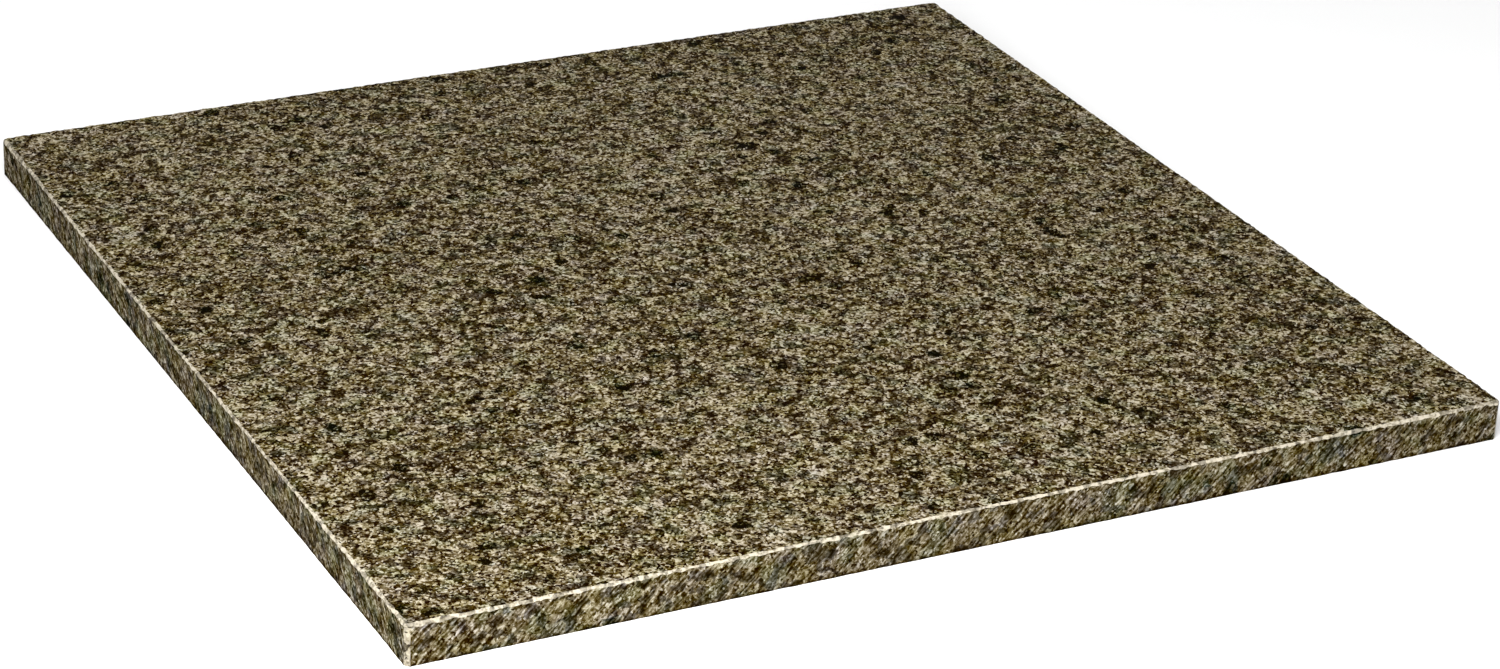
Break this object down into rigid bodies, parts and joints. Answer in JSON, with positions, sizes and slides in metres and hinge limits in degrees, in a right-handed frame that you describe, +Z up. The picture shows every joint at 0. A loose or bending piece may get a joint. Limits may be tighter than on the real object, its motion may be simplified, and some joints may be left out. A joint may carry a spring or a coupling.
{
  "type": "granite slab",
  "caption": "Thin square slab of speckled granite with a flat working face, sawn sides and lightly bevelled edges, used as a hard base for stamping and tooling leather.",
  "frame": {"origin": "middle of the underside, in the plane that the slab rests on", "axes": "+Z up through the slab's thickness, out of the working face; X and Y along its equal sides"},
  "size_m": [0.3048, 0.3048, 0.0111],
  "materials": {
    "granite": "satin"
  },
  "bodies": {
    "root": {"granite_slab": "granite"}
  },
  "joints": []
}
